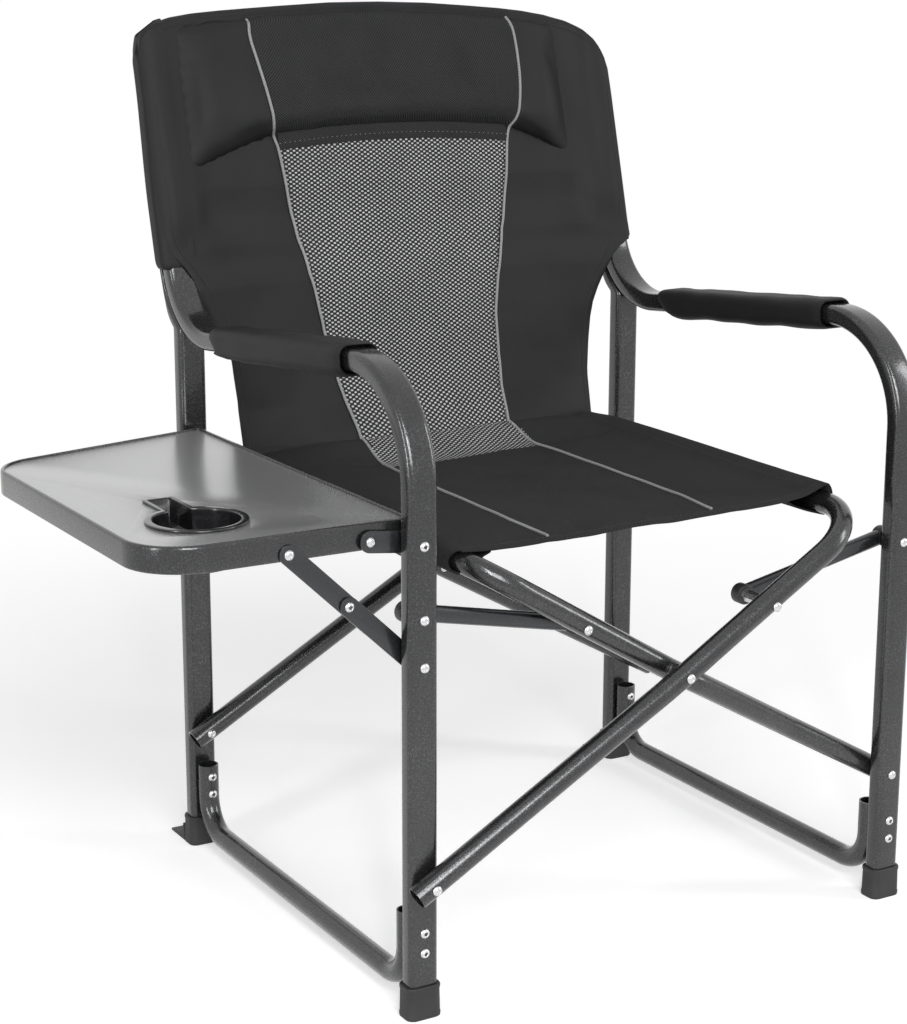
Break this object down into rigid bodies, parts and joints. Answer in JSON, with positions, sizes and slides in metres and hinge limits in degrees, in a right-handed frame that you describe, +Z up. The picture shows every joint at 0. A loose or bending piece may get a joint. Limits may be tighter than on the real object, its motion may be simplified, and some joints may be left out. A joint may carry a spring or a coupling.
{
  "type": "folding camp chair",
  "caption": "Folding director's camp chair with scissor legs, sling seat, padded arms and back, headrest pad and a fold-down side table with a cup holder.",
  "frame": {"origin": "middle of the open chair's bounding box, on the ground, with the side table up", "axes": "+Z up, the sitter faces -Y, +X is to the right seen from the front, the table is on the -X side"},
  "size_m": [0.821, 0.628, 0.885],
  "materials": {
    "hammertone_paint": "glossy hammertone powder coat, dark charcoal",
    "link_paint": "semi-gloss charcoal powder coat",
    "bright_rivet": "bright domed aluminium",
    "black_plastic": "satin moulded nylon",
    "dark_rubber": "matt dark grey rubber",
    "woven_fabric": "matt near-black polyester weave over foam",
    "black_mesh": "fine black mesh over foam",
    "table_grey": "glossy mid grey sheet",
    "gloss_black": "glossy black moulding"
  },
  "bodies": {
    "left_side": {"arm_frame_left": "hammertone_paint", "rear_leg_left": "hammertone_paint", "lower_rail_left": "hammertone_paint", "front_foot_left": "dark_rubber", "rear_foot_left": "dark_rubber", "armrest_sleeve_left": "woven_fabric", "pivot_rivet_front_left": "bright_rivet", "pivot_rivet_rear_left": "bright_rivet", "link_leg_rivet_front_left": "bright_rivet", "link_leg_rivet_rear_left": "bright_rivet", "table_bracket_front": "link_paint", "table_bracket_rear": "link_paint", "table_hinge_rivet_front": "bright_rivet", "table_hinge_rivet_rear": "bright_rivet", "brace_leg_rivet": "bright_rivet", "back_panel": "woven_fabric", "headrest_pad": "black_mesh"},
    "cross_frame_a": {"cross_frame_a": "hammertone_paint", "centre_rivet_front": "bright_rivet", "centre_rivet_rear": "bright_rivet", "link_arm_rivet_front_right": "bright_rivet", "link_arm_rivet_rear_right": "bright_rivet"},
    "cross_frame_b": {"cross_frame_b": "hammertone_paint", "link_arm_rivet_front_left": "bright_rivet", "link_arm_rivet_rear_left": "bright_rivet", "seat_panel": "black_mesh"},
    "right_side": {"arm_frame_right": "hammertone_paint", "rear_leg_right": "hammertone_paint", "lower_rail_right": "hammertone_paint", "front_foot_right": "dark_rubber", "rear_foot_right": "dark_rubber", "armrest_sleeve_right": "woven_fabric", "pivot_rivet_front_right": "bright_rivet", "pivot_rivet_rear_right": "bright_rivet", "link_leg_rivet_front_right": "bright_rivet", "link_leg_rivet_rear_right": "bright_rivet"},
    "left_links": {"link_front_left_tube": "link_paint", "link_front_left_leg_end": "black_plastic", "link_front_left_arm_end": "black_plastic", "link_rear_left_tube": "link_paint", "link_rear_left_leg_end": "black_plastic", "link_rear_left_arm_end": "black_plastic"},
    "right_links": {"link_front_right_tube": "link_paint", "link_front_right_leg_end": "black_plastic", "link_front_right_arm_end": "black_plastic", "link_rear_right_tube": "link_paint", "link_rear_right_leg_end": "black_plastic", "link_rear_right_arm_end": "black_plastic"},
    "table": {"table_frame": "hammertone_paint", "table_panel": "table_grey", "cup_holder": "gloss_black", "brace_table_rivet": "bright_rivet"},
    "brace_lower": {"brace_lower": "link_paint"},
    "brace_upper": {"brace_upper": "link_paint"}
  },
  "joints": [
    {"name": "fold", "type": "hinge", "parent": "left_side", "child": "cross_frame_a", "pos_m": [-0.16256, -0.28895, 0.134], "axis": [0, -1, 0], "range_deg": [0, 48.72], "deforming": ["seat_panel", "back_panel", "headrest_pad"]},
    {"name": "scissor_cross", "type": "hinge", "parent": "cross_frame_a", "child": "cross_frame_b", "pos_m": [0.11244, -0.28895, 0.2882], "axis": [0, -1, 0], "range_deg": [-97.45, 0]},
    {"name": "right_pivot", "type": "hinge", "parent": "cross_frame_b", "child": "right_side", "pos_m": [0.38744, -0.28895, 0.134], "axis": [0, -1, 0], "range_deg": [0, 48.73]},
    {"name": "left_link_swing", "type": "hinge", "parent": "left_side", "child": "left_links", "pos_m": [-0.16256, -0.28895, 0.38], "axis": [0, -1, 0], "range_deg": [0, 88.09]},
    {"name": "right_link_swing", "type": "hinge", "parent": "right_side", "child": "right_links", "pos_m": [0.38744, -0.28895, 0.38], "axis": [0, -1, 0], "range_deg": [-88.09, 0]},
    {"name": "table_fold", "type": "hinge", "parent": "left_side", "child": "table", "pos_m": [-0.20456, -0.28895, 0.452], "axis": [0, -1, 0], "range_deg": [0, 90]},
    {"name": "brace_lower_swing", "type": "hinge", "parent": "left_side", "child": "brace_lower", "pos_m": [-0.16256, -0.28895, 0.3364], "axis": [0, -1, 0], "range_deg": [0, 61.7]},
    {"name": "brace_upper_swing", "type": "hinge", "parent": "table", "child": "brace_upper", "pos_m": [-0.28226, -0.28895, 0.45], "axis": [0, -1, 0], "range_deg": [-169.82, 0]}
  ],
  "couplings": [
    {"joint": "scissor_cross", "follows": "fold", "ratio": -2},
    {"joint": "right_pivot", "follows": "fold", "ratio": 1},
    {"joint": "left_link_swing", "follows": "fold", "ratio": 1.8079},
    {"joint": "right_link_swing", "follows": "fold", "ratio": -1.8079},
    {"joint": "brace_lower_swing", "follows": "table_fold", "ratio": 0.6854},
    {"joint": "brace_upper_swing", "follows": "table_fold", "ratio": -1.8868}
  ]
}
